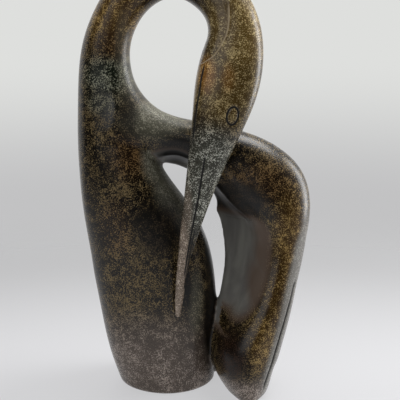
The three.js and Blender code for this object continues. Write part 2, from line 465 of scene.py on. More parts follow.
class SkinMesher:
    """Fits a mesh of four-sided faces to a field, with one vertex in each grid cell that the skin crosses."""

    def __init__(self, low: Array, high: Array, pitch: float) -> None:
        """Lays out the grid.

        Args:
            low: The grid's lowest corner.
            high: Its highest corner.
            pitch: The side of a cell.
        """
        self.low = low
        self.pitch = pitch
        self.shape = tuple(int(n) for n in np.ceil((high - low) / pitch) + 1)

    def fit(self, evaluate: Callable[[Array], Array]) -> tuple[Array, Array]:
        """Finds the skin.

        Args:
            evaluate: The field, called on an array of points.

        Returns:
            The vertices, and the four corners of each face.
        """
        axes = [self.low[i] + self.pitch * np.arange(n) for i, n in enumerate(self.shape)]
        grid = np.stack(np.meshgrid(*axes, indexing="ij"), axis=-1).reshape(-1, 3)
        values = evaluate(grid).reshape(self.shape)
        inside = values < 0
        cells = tuple(n - 1 for n in self.shape)
        total = np.zeros(cells + (3,))
        count = np.zeros(cells)
        for axis in range(3):
            first = self._along(values, axis, 0)
            second = self._along(values, axis, 1)
            crossing = (first < 0) != (second < 0)
            share = np.where(crossing, first / np.where(crossing, first - second, 1), 0)
            others = [i for i in range(3) if i != axis]
            for corner in ((0, 0), (0, 1), (1, 0), (1, 1)):
                window = [slice(None)] * 3
                for other, side in zip(others, corner):
                    window[other] = slice(side, self.shape[other] - 1 + side)
                hit = crossing[tuple(window)]
                count += hit
                total[..., axis] += np.where(hit, share[tuple(window)], 0)
                for other, side in zip(others, corner):
                    total[..., other] += hit * side
        used = count > 0
        index = np.full(cells, -1, dtype=np.int64)
        index[used] = np.arange(int(used.sum()))
        places = np.argwhere(used) + total[used] / count[used][:, None]
        faces = [self._faces(inside, index, axis) for axis in range(3)]
        return self.low + places * self.pitch, np.concatenate(faces)

    def _along(self, values: Array, axis: int, side: int) -> Array:
        """The values at the lower or upper end of each grid edge along an axis."""
        window = [slice(None)] * 3
        window[axis] = slice(side, self.shape[axis] - 1 + side)
        return values[tuple(window)]

    def _faces(self, inside: Array, index: Array, axis: int) -> Array:
        """Makes one face round each grid edge along an axis that the skin crosses.

        Args:
            inside: Which grid points are in the stone.
            index: The vertex in each cell.
            axis: The axis of the edges.

        Returns:
            The faces' corners, turning so that they look out of the stone.
        """
        first = self._along(inside, axis, 0)
        second = self._along(inside, axis, 1)
        one, two = [(1, 2), (2, 0), (0, 1)][axis]
        places = np.argwhere(first != second)
        places = places[(places[:, one] > 0) & (places[:, two] > 0)]
        places = places[(places[:, one] < index.shape[one]) & (places[:, two] < index.shape[two])]
        leaving = first[tuple(places.T)]
        corners = []
        for back_one, back_two in ((1, 1), (0, 1), (0, 0), (1, 0)):
            cell = places.copy()
            cell[:, one] -= back_one
            cell[:, two] -= back_two
            corners.append(index[tuple(cell.T)])
        faces = np.stack(corners, axis=1)
        return np.where(leaving[:, None], faces, faces[:, ::-1])


@dataclass(frozen=True)
class CutLine:
    """A line cut into the front of the stone, drawn through points of the front view."""

    points: tuple[Pair, ...]
    width: float
    depth: float
    fade: float = 8.0
    steps: int = 160

    def distance(self, points: Array) -> tuple[Array, Array]:
        """Measures how far points lie from the line in the front view.

        Args:
            points: Points in the drawing.

        Returns:
            The distance to the right of the line, and how far its ends have faded in, from 0 to 1.
        """
        marks = np.array(self.points)
        knots = np.concatenate([[0.0], np.cumsum(np.linalg.norm(np.diff(marks, axis=0), axis=1))])
        at = np.linspace(0, knots[-1], self.steps)
        line = np.stack([Spline(knots, marks[:, 0])(at), Spline(knots, marks[:, 1])(at)], axis=1)
        heading = np.gradient(line, axis=0)
        heading /= np.linalg.norm(heading, axis=1, keepdims=True)
        flat = points[:, [0, 2]]
        nearest = np.argmin(((flat[:, None, :] - line[None]) ** 2).sum(axis=2), axis=1)
        offset = flat - line[nearest]
        along = (offset * heading[nearest]).sum(axis=1) + at[nearest]
        right = offset[:, 1] * heading[nearest, 0] - offset[:, 0] * heading[nearest, 1]
        started = smoothstep(along, -self.width, self.fade)
        return right, started * smoothstep(along, knots[-1] + self.width, knots[-1] - self.fade)

    def clearance(self, points: Array) -> Array:
        """How far points lie from the line, without its faded ends."""
        right, ends = self.distance(points)
        return np.where(ends > 0, np.abs(right), FAR_OUTSIDE)

    def cut(self, points: Array) -> Array:
        """How much of the line's depth is cut at each point."""
        right, ends = self.distance(points)
        return hump(right, 0.0, self.width / 2) * ends


@dataclass(frozen=True)
class CrestLine(CutLine):
    """The crest: the stone steps down to the left of the line and has a thin raised ridge along it."""

    step: Pair = (0.35, -0.5)
    run_out: float = 9.0
    raised: float = 0.35
    raised_strip: Pair = (0.6, 0.9)
    shining_strip: Pair = (0.2, 1.1)

    def lowering(self, points: Array) -> Array:
        """How far the stone is lowered at each point, below zero where it is raised."""
        right, ends = self.distance(points)
        lowered = self.depth * smoothstep(right, *self.step) * np.exp(right / self.run_out)
        return (lowered - self.raised * hump(right, *self.raised_strip)) * ends

    def shine(self, points: Array) -> Array:
        """How much painted highlight the ridge has at each point."""
        right, ends = self.distance(points)
        return hump(right, *self.shining_strip) * ends


@dataclass(frozen=True)
class EyeRing:
    """The eye: an oval ring cut into the side of the head."""

    middle: Pair = (26.4, 251.3)
    half_width: float = 4.7
    half_height: float = 7.3
    tilt: float = math.radians(-9)
    width: float = 1.9
    depth: float = 1.1

    def distance(self, points: Array) -> Array:
        """About the distance to the ring's line in the front view."""
        x = points[:, 0] - self.middle[0]
        z = points[:, 2] - self.middle[1]
        across = (x * math.cos(self.tilt) + z * math.sin(self.tilt)) / self.half_width
        up = (z * math.cos(self.tilt) - x * math.sin(self.tilt)) / self.half_height
        size = np.hypot(across, up)
        steep = np.hypot(across / self.half_width, up / self.half_height) / np.maximum(size, TINY)
        return (size - 1) / np.maximum(steep, TINY)

    def clearance(self, points: Array) -> Array:
        """How far points lie from the ring's line."""
        return np.abs(self.distance(points))

    def cut(self, points: Array) -> Array:
        """How much of the ring's depth is cut at each point."""
        return hump(self.distance(points), 0.0, self.width / 2)


class Patch(Enum):
    """The kinds of stone that show in the block, some of them carrying painted shade, sheen or light, and the
    names of their masks.
    """

    GOLD = "gold"
    GREEN = "green"
    RUST = "rust"
    TAUPE = "taupe"
    GREY = "grey"
    # Olive stone, made paler on the head's top and front as painted light.
    OLIVE = "olive"
    OCHRE = "ochre"
    # Sage-grey stone and painted sheen: the pale grey where the glossy stone catches the bright room, on the
    # bar's top, the neck's inner side and the breast's bevel.
    SAGE = "sage"
    TAN = "tan"
    # Brown stone darkened with painted shade, low on the wing's inner side by the seam.
    BROWN = "brown"
    # Mostly painted shade: near-black put where shade falls, under the shoulder, in the recess under the bar,
    # down the breast's right side and as the bill's shadow.
    BLACK = "black"
    MAUVE = "mauve"


class Mark(Enum):
    """What the carver's tools and polish leave on the stone, with the painted highlight on the ridges and the
    painted sheen on the wing's flank, and the names of their masks.
    """

    LINE = "line"
    # A painted highlight: the pale line along the crest's ridge and the pale strip beside the cheek line.
    RIDGE = "ridge"
    POLISH = "polish"
    # Smooth polish with a painted sheen: the pale grey strip down the wing's outer flank.
    FLANK = "flank"


@dataclass(frozen=True)
class Stain:
    """A soft-edged patch of one kind of stone, or of stone with painted shade, sheen or light, placed in the
    front view.
    """

    patch: Patch
    middle: Pair
    reach: Pair
    strength: float

    EDGE = (1.35, 0.35)

    def mask(self, points: Array) -> Array:
        """How much of the patch each point has, from 0 to its strength."""
        x = (points[:, 0] - self.middle[0]) / self.reach[0]
        z = (points[:, 2] - self.middle[1]) / self.reach[1]
        return self.strength * smoothstep(np.hypot(x, z), *self.EDGE)


@dataclass
class Skin:
    """The skin while it is carved: its points, how deep each is cut, and how much of each finish, patch and
    painted light it has.
    """

    places: Array

    def __post_init__(self) -> None:
        """Starts uncut and plain."""
        self.depth = np.zeros(len(self.places))
        self.masks = {kind: np.zeros(len(self.places)) for kind in (*Patch, *Mark)}

    def lay(self, kind: Patch | Mark, share: Array, chosen: Array | slice = slice(None)) -> None:
        """Lays a finish, patch or painted light on chosen points, where it is stronger than what is there."""
        self.masks[kind][chosen] = np.maximum(self.masks[kind][chosen], share)

    def engrave(self, line: CutLine | EyeRing, chosen: Array) -> None:
        """Cuts a line into chosen points, and marks it."""
        cut = line.cut(self.places[chosen])
        self.depth[chosen] += line.depth * cut
        self.lay(Mark.LINE, cut, chosen)


@dataclass
class CraneCarving:
    """The whole carved bird as one mesh, with its cut lines, the patches of its stone and its painted shade,
    sheen and highlights.
    """

    form: CraneForm = field(default_factory=CraneForm)
    pitch: float = 2.3
    low: Triple = (-110.7, -66.8, -3.4)
    high: Triple = (104, 44, 386)
    refinements: tuple[Pair, ...] = ((5.0, 1.4), (2.6, 0.8))
    settle_share: float = 1.2
    eye: EyeRing = EyeRing()
    mouth: CutLine = CutLine(
        ((4.6, 221), (1.8, 203.4), (-1.6, 181.9), (-6.7, 155), (-10.6, 130.9), (-13.3, 111)), 1.8, 1.1
    )
    lower_mouth: CutLine = CutLine(((-3.6, 160), (-7.4, 138), (-10.6, 118), (-13.8, 98)), 1.3, 0.7)
    crest: CrestLine = CrestLine(
        ((22.2, 341.9), (22.6, 327.3), (20.9, 316.4), (16.2, 306.8))
        + ((10.3, 298.8), (4.5, 294.6), (-1.5, 290.5)),
        1.2,
        1.3,
    )
    cheek_line: CutLine = CutLine(
        ((4.0, 294), (1.6, 285), (-0.6, 272), (-3.3, 256), (-5.2, 240), (-6.6, 228)), 1.6, 0.8
    )
    wing_groove: CutLine = CutLine(
        ((84.6, 104), (82.7, 96.1), (69.7, 53.3), (63.8, 34.1), (58.6, 18.3), (55, 7.9)), 2.0, 1.3
    )
    groove_side: Pair = (20.0, 125.0)
    head_front: Pair = (math.radians(-180), math.radians(8))
    wing_front: Pair = (math.radians(-85), 0.0)
    skin_reach: float = 1.2
    part_reach: float = 1.5
    wing_reach: float = 3.0
    cheek_near: Pair = (-0.7, -1.6)
    cheek_far: Pair = (-6.0, -4.0)
    cheek_shine: float = 0.6
    polish_edge: Pair = (8.5, 1.5)
    polish_angles: Pair = (math.radians(112), math.radians(140))
    polish_top: Pair = (225.0, 200.0)
    polish_foot: Pair = (50.0, 68.0)
    shoulder_underside: Pair = (150.0, 165.0)
    shoulder_side: Pair = (-2.0, 16.0)
    web_reach: Pair = (0.0, 6.0)
    flank_heights: tuple[float, ...] = (22.0, 90.0, 135.0, 165.0)
    flank_angles: tuple[float, ...] = (66.0, 58.0, 44.0, 18.0)
    flank_edge: Pair = (-0.10, 0.10)
    flank_back: Pair = (math.radians(110), math.radians(75))
    flank_top: Pair = (170.0, 138.0)
    trunk_stains: tuple[Stain, ...] = (
        # Partly painted sheen: the pale grey of the bar's top.
        Stain(Patch.SAGE, (-36, 244), (29, 17), 1.0),
        Stain(Patch.GOLD, (-72, 335), (30, 34), 0.95),
        Stain(Patch.RUST, (-72, 307), (18, 12), 0.6),
        Stain(Patch.GREEN, (-76, 280), (24, 17), 1.0),
        Stain(Patch.GREEN, (-82, 260), (16, 12), 0.6),
        # Partly painted sheen: the pale grey of the neck's inner side and of the bevel down the breast's
        # right edge.
        Stain(Patch.SAGE, (-64, 304), (7, 32), 0.3),
        Stain(Patch.SAGE, (-58, 268), (11, 22), 0.3),
        Stain(Patch.SAGE, (-35, 212), (14, 24), 1.3),
        Stain(Patch.SAGE, (-25, 186), (14, 22), 1.3),
        Stain(Patch.SAGE, (-14, 166), (10, 16), 0.9),
        Stain(Patch.RUST, (-60, 214), (20, 22), 0.65),
        Stain(Patch.RUST, (-72, 152), (16, 28), 0.4),
        # Black patches: dark patches on the breast and at the neck's root, and painted shade: the bill's cast
        # shadow on the breast and the shade down the breast's right side beside the wing.
        Stain(Patch.BLACK, (-32, 152), (26, 30), 0.85),
        Stain(Patch.BLACK, (-60, 246), (8, 18), 0.6),
        Stain(Patch.BLACK, (-11, 98), (3.6, 21), 1.0),
        Stain(Patch.BLACK, (8.5, 128), (4.5, 34), 1.0),
        Stain(Patch.BLACK, (10, 60), (7, 42), 1.3),
        Stain(Patch.SAGE, (-3, 82), (7, 30), 0.5),
        Stain(Patch.TAUPE, (-38, 20), (70, 52), 1.0),
    )
    head_stains: tuple[Stain, ...] = (
        # Olive stone, made paler on the head's top and front as painted light.
        Stain(Patch.OLIVE, (32, 322), (32, 44), 1.0),
        Stain(Patch.OLIVE, (20, 276), (30, 36), 0.65),
        Stain(Patch.OCHRE, (5, 284), (8, 15), 1.0),
        Stain(Patch.OCHRE, (22, 282), (6, 12), 0.5),
        Stain(Patch.GREY, (8, 212), (24, 32), 1.0),
        Stain(Patch.GREY, (-2, 182), (16, 34), 1.0),
        Stain(Patch.TAN, (-10, 174), (4, 20), 0.6),
        Stain(Patch.TAN, (-14, 148), (5, 22), 0.9),
        Stain(Patch.TAN, (-17, 118), (7, 26), 1.0),
        Stain(Patch.TAN, (-18, 90), (9, 26), 1.0),
    )
    wing_stains: tuple[Stain, ...] = (
        # Partly painted sheen: the pale grey of the bar's top.
        Stain(Patch.SAGE, (-36, 244), (29, 17), 1.0),
        Stain(Patch.RUST, (48, 188), (34, 22), 0.6),
        Stain(Patch.GOLD, (78, 142), (17, 46), 0.7),
        Stain(Patch.GOLD, (67, 92), (15, 40), 0.6),
        Stain(Patch.GOLD, (54, 56), (15, 28), 0.6),
        # Painted shade: the shade under the wing's shoulder, cast by the head, and the shade in the recess
        # under the bar.
        Stain(Patch.BLACK, (30, 173), (27, 18), 1.6),
        Stain(Patch.BLACK, (-18, 215), (20, 14), 1.6),
        # Brown stone darkened with painted shade, low on the wing's inner side by the seam.
        Stain(Patch.BROWN, (28, 42), (14, 24), 1.0),
        Stain(Patch.TAUPE, (40, 4), (36, 18), 1.2),
        Stain(Patch.MAUVE, (58, 150), (12, 24), 1.1),
        Stain(Patch.MAUVE, (57, 126), (10, 26), 1.1),
        Stain(Patch.MAUVE, (51, 97), (10, 26), 1.1),
    )

    def build(self) -> bpy.types.Object:
        """Carves the bird.

        Returns:
            The bird as one object at the frame's origin.
        """
        mesher = SkinMesher(np.array(self.low), np.array(self.high), self.pitch)
        points, quads = mesher.fit(self.form.field)
        points = self.form.settle(points)
        LOG.info("skin fitted with %d faces", len(quads))
        rough = bpy.data.meshes.new("rough")
        rough.from_pydata(points.tolist(), [], quads.tolist())
        mesh = bmesh.new()
        mesh.from_mesh(rough)
        bpy.data.meshes.remove(rough)
        bmesh.ops.triangulate(mesh, faces=mesh.faces[:], quad_method="SHORT_EDGE")
        for reach, longest in self.refinements:
            self._refine(mesh, reach, longest)
        LOG.info("lines refined")
        skin = self._carve(self._places(mesh))
        LOG.info("lines cut")
        for vertex, place in zip(mesh.verts, skin.places):
            vertex.co = (place - BOX_MIDDLE) * MM
        bmesh.ops.recalc_face_normals(mesh, faces=mesh.faces[:])
        data = bpy.data.meshes.new(NODE + "_stone")
        mesh.to_mesh(data)
        mesh.free()
        for kind, values in skin.masks.items():
            layer = data.attributes.new(kind.value, "FLOAT", "POINT")
            layer.data.foreach_set("value", values.astype(np.float32))
        data.polygons.foreach_set("use_smooth", np.ones(len(data.polygons), dtype=bool))
        return place_object("crane_stone", data)

    @staticmethod
    def _places(mesh: bmesh.types.BMesh) -> Array:
        """The mesh's vertices as an array."""
        return np.array([vertex.co for vertex in mesh.verts], dtype=float)

    def _refine(self, mesh: bmesh.types.BMesh, reach: float, longest: float) -> None:
        """Splits the edges that are longer than the cut lines need.

        Args:
            mesh: The skin, of triangles.
            reach: How far from a cut line edges are split.
            longest: The longest edge that stays whole.
        """
        mesh.verts.index_update()
        places = self._places(mesh)
        close = self._nearness(places) < reach
        edges = [
            edge
            for edge in mesh.edges
            if close[edge.verts[0].index] and close[edge.verts[1].index] and edge.calc_length() > longest
        ]
        bmesh.ops.subdivide_edges(mesh, edges=edges, cuts=1)
        bmesh.ops.triangulate(mesh, faces=[face for face in mesh.faces if len(face.verts) > 3])
        mesh.verts.index_update()
        places = self._places(mesh)
        fresh = np.flatnonzero(self._nearness(places) < reach * self.settle_share)
        mesh.verts.ensure_lookup_table()
        for number, place in zip(fresh.tolist(), self.form.settle(places[fresh])):
            mesh.verts[number].co = place

    def _front(self, limb: Limb, places: Array, among: Array, span: Pair) -> Array:
        """Finds the points on the front of a limb.

        Args:
            limb: The limb.
            places: Points on the skin.
            among: Which of them to look at.
            span: The angles between which its front lies, in its sections.

        Returns:
            The numbers of the points.
        """
        looked_at = np.flatnonzero(among)
        angle, distance = limb.section(places[looked_at])
        return looked_at[(np.abs(distance) < self.skin_reach) & (angle >= span[0]) & (angle < span[1])]

    def _groove_side(self, places: Array) -> Array:
        """Which points are on the side of the bird that has the wing's groove."""
        return (places[:, 0] > self.groove_side[0]) & (places[:, 2] < self.groove_side[1])

    def _nearness(self, places: Array) -> Array:
        """Measures how far each point is from the nearest cut line that it can belong to.

        Args:
            places: Points on the skin.

        Returns:
            The distances in millimetres.
        """
        nearest = np.full(len(places), FAR_OUTSIDE)
        form = self.form
        by_head = np.all((places > form.head.low) & (places < form.head.high), axis=1)
        head = self._front(form.head, places, by_head, self.head_front)
        wing = self._front(form.wing, places, self._groove_side(places), self.wing_front)
        for line in (self.eye, self.mouth, self.lower_mouth, self.cheek_line, self.crest):
            nearest[head] = np.minimum(nearest[head], line.clearance(places[head]))
        nearest[wing] = np.minimum(nearest[wing], self.wing_groove.clearance(places[wing]))
        return nearest

    def _carve(self, places: Array) -> Skin:
        """Cuts the lines into the skin and lays out the stone's finishes, patches and painted light.

        Args:
            places: Points on the skin.

        Returns:
            The cut skin.
        """
        skin = Skin(places)
        form = self.form
        gaps = [np.abs(limb.field(places)) for limb in (form.trunk, form.head, form.wing)]
        by_trunk, by_head, by_wing = (gap < self.part_reach for gap in gaps)
        head = self._front(form.head, places, by_head, self.head_front)
        for line in (self.eye, self.mouth, self.lower_mouth, self.cheek_line):
            skin.engrave(line, head)
        # Painted highlight: a pale strip beside the cheek line, and a pale line along the crest.
        right, ends = self.cheek_line.distance(places[head])
        strip = smoothstep(right, *self.cheek_near) * smoothstep(right, *self.cheek_far) * ends
        skin.lay(Mark.RIDGE, strip * self.cheek_shine, head)
        skin.lay(Mark.RIDGE, self.crest.shine(places[head]), head)
        skin.depth[head] += self.crest.lowering(places[head])
        groove = self._front(form.wing, places, by_wing & self._groove_side(places), self.wing_front)
        skin.engrave(self.wing_groove, groove)
        self._finish_wing(skin, ~by_trunk)
        nearest = np.argmin(gaps, axis=0)
        for limb, stains in enumerate((self.trunk_stains, self.head_stains, self.wing_stains)):
            for stain in stains:
                skin.lay(stain.patch, stain.mask(places) * (nearest == limb))
        skin.places = places - form.normals(places) * skin.depth[:, None]
        return skin

    def _finish_wing(self, skin: Skin, off_trunk: Array) -> None:
        """Lays the smooth polish, whose grey is partly painted reflection, in the wing's hollow and on its
        inner side, and the even flank outside, whose pale grey is painted sheen.

        Args:
            skin: The skin.
            off_trunk: Which points are clear of the trunk.
        """
        form = self.form
        across = skin.places[:, 0]
        height = skin.places[:, 2]
        web_gap = np.abs(form.web.field(skin.places))
        angle, distance = form.wing.section(skin.places)
        on_wing = np.abs(distance) < self.wing_reach
        hollow = smoothstep(form.hollow_field(skin.places), *self.polish_edge) * (distance < self.wing_reach)
        inner = smoothstep(np.abs(angle), *self.polish_angles) * smoothstep(height, *self.polish_top)
        shoulder = smoothstep(height, *self.shoulder_underside) * smoothstep(across, *self.shoulder_side)
        foot = smoothstep(height, *self.polish_foot) * smoothstep(web_gap, *self.web_reach)
        skin.lay(Mark.POLISH, np.maximum(hollow, inner * on_wing) * (1 - shoulder) * off_trunk * foot)
        # Painted sheen: the pale grey strip down the wing's outer flank, on smooth polish.
        front = np.interp(height, self.flank_heights, np.radians(self.flank_angles))
        outer = smoothstep(angle + front, *self.flank_edge) * smoothstep(angle, *self.flank_back)
        skin.lay(Mark.FLANK, outer * on_wing * smoothstep(height, *self.flank_top))


class Wire:
    """One number in a node tree, so that shader maths reads as arithmetic."""

    def __init__(self, tree: "NodeTree", socket: bpy.types.NodeSocket) -> None:
        """Holds the tree and the socket."""
        self.tree = tree
        self.socket = socket

    def _maths(self, operation: str, *values: "Wire | float") -> "Wire":
        """Adds a Math node."""
        return self.tree.node("ShaderNodeMath", {"operation": operation}, dict(enumerate(values)))

    def __add__(self, other: "Wire | float") -> "Wire":
        """Sum."""
        return self._maths("ADD", self, other)

    def __mul__(self, other: "Wire | float") -> "Wire":
        """Product."""
        return self._maths("MULTIPLY", self, other)

    def __sub__(self, other: "Wire | float") -> "Wire":
        """Difference."""
        return self._maths("SUBTRACT", self, other)

    def __rsub__(self, other: float) -> "Wire":
        """Difference from a number."""
        return self._maths("SUBTRACT", other, self)

    __radd__ = __add__
    __rmul__ = __mul__

    def most(self, other: "Wire | float") -> "Wire":
        """The larger of the two."""
        return self._maths("MAXIMUM", self, other)

    def clamped(self) -> "Wire":
        """Kept from 0 to 1."""
        return self._maths("MINIMUM", self.most(0.0), 1.0)

    def rise(self, low: float, high: float) -> "Wire":
        """Rises smoothly from 0 at low to 1 at high, or falls where low is the higher."""
        inputs = {"Value": self, "From Min": low, "From Max": high}
        return self.tree.node("ShaderNodeMapRange", {"interpolation_type": "SMOOTHSTEP"}, inputs)


@dataclass(frozen=True)
class Noise:
    """Cloudy noise: the size of a cloud in metres, how many finer layers it has, and how strong they are."""

    size: float
    detail: float
    roughness: float


class NodeTree:
    """The nodes of a material or of the room."""

    def __init__(self, owner: bpy.types.Material | bpy.types.World) -> None:
        """Takes hold of the nodes and clears them.

        Args:
            owner: The material or the world that the nodes belong to.
        """
        owner.use_nodes = True
        self.nodes = owner.node_tree.nodes
        self.links = owner.node_tree.links
        self.nodes.clear()

    def node(self, kind: str, settings: dict, inputs: dict, output: int | str = 0) -> Wire:
        """Adds a node.

        Args:
            kind: The node's type.
            settings: What is set on the node itself, before its sockets.
            inputs: A value or a wire for each socket, by name or number.
            output: The output to use.

        Returns:
            The chosen output.
        """
        made = self.nodes.new(kind)
        for name, value in settings.items():
            setattr(made, name, value)
        for name, value in inputs.items():
            socket = made.inputs[name]
            if isinstance(value, Wire):
                self.links.new(value.socket, socket)
            else:
                socket.default_value = value
        return Wire(self, made.outputs[output])

    def mask(self, kind: Patch | Mark) -> Wire:
        """Reads how much of a finish the carving has."""
        return self.node("ShaderNodeAttribute", {"attribute_name": kind.value}, {}, "Fac")

    def noise(self, place: Wire, noise: Noise) -> Wire:
        """Adds cloudy noise, from 0 to 1, at the coordinates."""
        inputs = {"Scale": 1 / noise.size, "Detail": noise.detail, "Roughness": noise.roughness}
        return self.node("ShaderNodeTexNoise", {}, {"Vector": place} | inputs, "Fac")

    def blend(self, share: Wire | float, first: Wire | Colour, second: Wire | Colour) -> Wire:
        """Blends two colours.

        Args:
            share: How much of the second.
            first: The first colour.
            second: The second colour.

        Returns:
            The blended colour.
        """
        settings = {"data_type": "RGBA", "clamp_factor": True}
        return self.node("ShaderNodeMix", settings, {0: share, 6: first, 7: second}, 2)

    def finish(self, kind: str, shader: Wire) -> None:
        """Sends a shader to the surface of an output node of a kind."""
        self.links.new(shader.socket, self.nodes.new(kind).inputs["Surface"])


def tone(red: int, green: int, blue: int) -> Colour:
    """A colour from its screen values, from 0 to 255, as linear light."""
    linear = [((v / 255 + 0.055) / 1.055) ** 2.4 if v > 10 else v / 255 / 12.92 for v in (red, green, blue)]
    return (*linear, 1.0)


@dataclass(frozen=True)
class StoneKind:
    """The ground and the flecks of one kind of stone."""

    ground: Colour
    fleck: Colour


@dataclass(frozen=True)
class SpeckledStone:
    """Waxed and polished stone: dark ground, pale flecks, soft patches of colour and smooth grey hollows,
    with painted shade, sheen and highlights laid in the colour.
    """

    base: StoneKind = StoneKind(tone(9, 5, 1), tone(121, 103, 69))
    kinds: tuple[tuple[Patch, StoneKind], ...] = (
        (Patch.GOLD, StoneKind(tone(68, 46, 11), tone(172, 142, 82))),
        (Patch.GREEN, StoneKind(tone(20, 26, 15), tone(152, 152, 132))),
        (Patch.RUST, StoneKind(tone(36, 21, 6), tone(122, 92, 56))),
        (Patch.TAUPE, StoneKind(tone(82, 72, 64), tone(160, 147, 137))),
        # Paler olive, partly painted light.
        (Patch.OLIVE, StoneKind(tone(90, 70, 32), tone(188, 168, 118))),
        (Patch.OCHRE, StoneKind(tone(122, 82, 30), tone(216, 176, 112))),
        (Patch.GREY, StoneKind(tone(60, 60, 51), tone(186, 186, 174))),
        # Sage grey, partly painted sheen.
        (Patch.SAGE, StoneKind(tone(84, 82, 68), tone(150, 147, 130))),
        (Patch.TAN, StoneKind(tone(118, 104, 90), tone(190, 174, 158))),
        # Dark brown, partly painted shade.
        (Patch.BROWN, StoneKind(tone(22, 11, 4), tone(52, 32, 17))),
        # Near-black ground with dark flecks, mostly for painted shade.
        (Patch.BLACK, StoneKind(tone(3, 2, 1), tone(52, 42, 30))),
    )
    # The flank's pale grey is a painted sheen on smooth polished stone.
    flank: StoneKind = StoneKind(tone(100, 97, 91), tone(138, 135, 128))
    # The smooth polished stone's grey, made paler as a painted reflection of the bright room.
    polished: Colour = tone(96, 94, 91)
    polished_pale: Colour = tone(118, 117, 111)
    mauve: Colour = tone(94, 79, 68)
    # Near-black: the dark pits of the stone, the cut lines, where it is painted shade in the grooves, and
    # painted shade in the polished recess under the bar.
    line: Colour = tone(8, 7, 6)
    # The pale colour of the painted highlight on the crest and beside the cheek line.
    ridge: Colour = tone(176, 158, 128)
    flecks: Noise = Noise(0.0009, 2.0, 0.55)
    pits: Noise = Noise(0.00117, 1.0, 0.5)
    mottle: Noise = Noise(0.006, 2.0, 0.6)
    clouds: Noise = Noise(0.034, 3.0, 0.55)
    streaks: Noise = Noise(0.012, 3.0, 0.5)
    streak_squash: Triple = (1.0, 1.0, 0.12)
    pale_mottle: float = 0.4
    pale_clouds: float = 0.3
    pale_range: Pair = (0.52, 0.64)
    pit_range: Pair = (0.36, 0.26)
    pit_share: float = 0.7
    patch_least: float = 0.4
    patch_clouds: float = 0.9
    patch_mottle: float = 0.4
    streak_range: Pair = (0.35, 0.75)
    mauve_share: float = 0.85
    rim_range: Pair = (0.0, 0.5)
    polish_range: Pair = (0.35, 0.95)
    ridge_highlight_range: Pair = (0.3, 0.9)
    line_range: Pair = (0.25, 0.75)
    cover: float = 0.8
    gloss: float = 0.25
    dull: float = 0.36
    even_flank: float = 0.7
    raw_black: float = 0.4
    raw_dullness: float = 0.25
    line_dullness: float = 0.3
    bump_mottle: float = 0.4
    bump_strength: float = 0.35
    bump_depth: float = 0.0003
    ior: float = 1.4

    def build(self) -> bpy.types.Material:
        """Makes the material.

        Returns:
            The material.
        """
        material = bpy.data.materials.new("speckled_stone")
        tree = NodeTree(material)
        place = tree.node("ShaderNodeTexCoord", {}, {}, "Object")
        flecks = tree.noise(place, self.flecks)
        mottle = tree.noise(place, self.mottle)
        clouds = tree.noise(place, self.clouds)
        pale = flecks + (mottle - 0.5) * self.pale_mottle + (clouds - 0.5) * self.pale_clouds
        pale = pale.rise(*self.pale_range)
        spread = self.patch_least + clouds * self.patch_clouds + mottle * self.patch_mottle
        polish = tree.mask(Mark.POLISH)
        flank = tree.mask(Mark.FLANK)
        line = tree.mask(Mark.LINE).rise(*self.line_range)
        colour = self._speckled(tree, pale, spread)
        pits = tree.noise(place, self.pits).rise(*self.pit_range)
        colour = tree.blend(pits * self.pit_share, colour, self.line)
        # Painted sheen on the wing's outer flank.
        colour = tree.blend(flank, colour, tree.blend(pale, self.flank.ground, self.flank.fleck))
        colour = tree.blend(polish.rise(*self.rim_range) * self.cover, colour, self.mauve)
        # Smooth polished grey, partly painted reflection.
        colour = tree.blend(polish.rise(*self.polish_range), colour, self._smooth(tree, place))
        # Painted shade: where the polish meets the black patches, in the recess under the bar, it is darkened
        # nearly to black.
        colour = tree.blend(polish * tree.mask(Patch.BLACK) * self.cover, colour, self.line)
        # Painted highlight on the crest and beside the cheek line.
        colour = tree.blend(tree.mask(Mark.RIDGE).rise(*self.ridge_highlight_range) * self.cover, colour, self.ridge)
        # The cut lines are painted near-black: painted shade in the grooves.
        colour = tree.blend(line, colour, self.line)
        even = (1 - polish) * (1 - flank * self.even_flank)
        raw = (tree.mask(Patch.SAGE) + tree.mask(Patch.BLACK) * self.raw_black).clamped() * self.raw_dullness
        matt = self.gloss + pale * (self.dull - self.gloss) * even + raw + line * self.line_dullness
        height = (flecks - 0.5) * (1 - polish) + (mottle - 0.5) * self.bump_mottle
        bump_inputs = {"Strength": self.bump_strength, "Distance": self.bump_depth, "Height": height}
        bump = tree.node("ShaderNodeBump", {}, bump_inputs)
        inputs = {"Base Color": colour, "Roughness": matt.clamped(), "Normal": bump, "IOR": self.ior}
        tree.finish("ShaderNodeOutputMaterial", tree.node("ShaderNodeBsdfPrincipled", {}, inputs))
        return material

    def _speckled(self, tree: NodeTree, pale: Wire, spread: Wire) -> Wire:
        """Lays the patches of stone over each other, some of them carrying painted shade, sheen or light.

        Args:
            tree: The material's nodes.
            pale: Where the pale flecks are.
            spread: How far the patches show.

        Returns:
            The colour of ground and flecks together.
        """
        ground: Wire | Colour = self.base.ground
        fleck: Wire | Colour = self.base.fleck
        for patch, kind in self.kinds:
            share = (tree.mask(patch) * spread).clamped()
            ground = tree.blend(share, ground, kind.ground)
            fleck = tree.blend(share, fleck, kind.fleck)
        return tree.blend(pale, ground, fleck)

    def _smooth(self, tree: NodeTree, place: Wire) -> Wire:
        """Makes the streaked grey of the polished hollow, partly painted reflection, with its warmer patch.

        Args:
            tree: The material's nodes.
            place: The coordinates.

        Returns:
            The colour.
        """
        inputs = {"Vector": place, "Scale": self.streak_squash}
        streaks = tree.noise(tree.node("ShaderNodeMapping", {}, inputs), self.streaks)
        smooth = tree.blend(streaks.rise(*self.streak_range), self.polished, self.polished_pale)
        return tree.blend(tree.mask(Patch.MAUVE).clamped() * self.mauve_share, smooth, self.mauve)


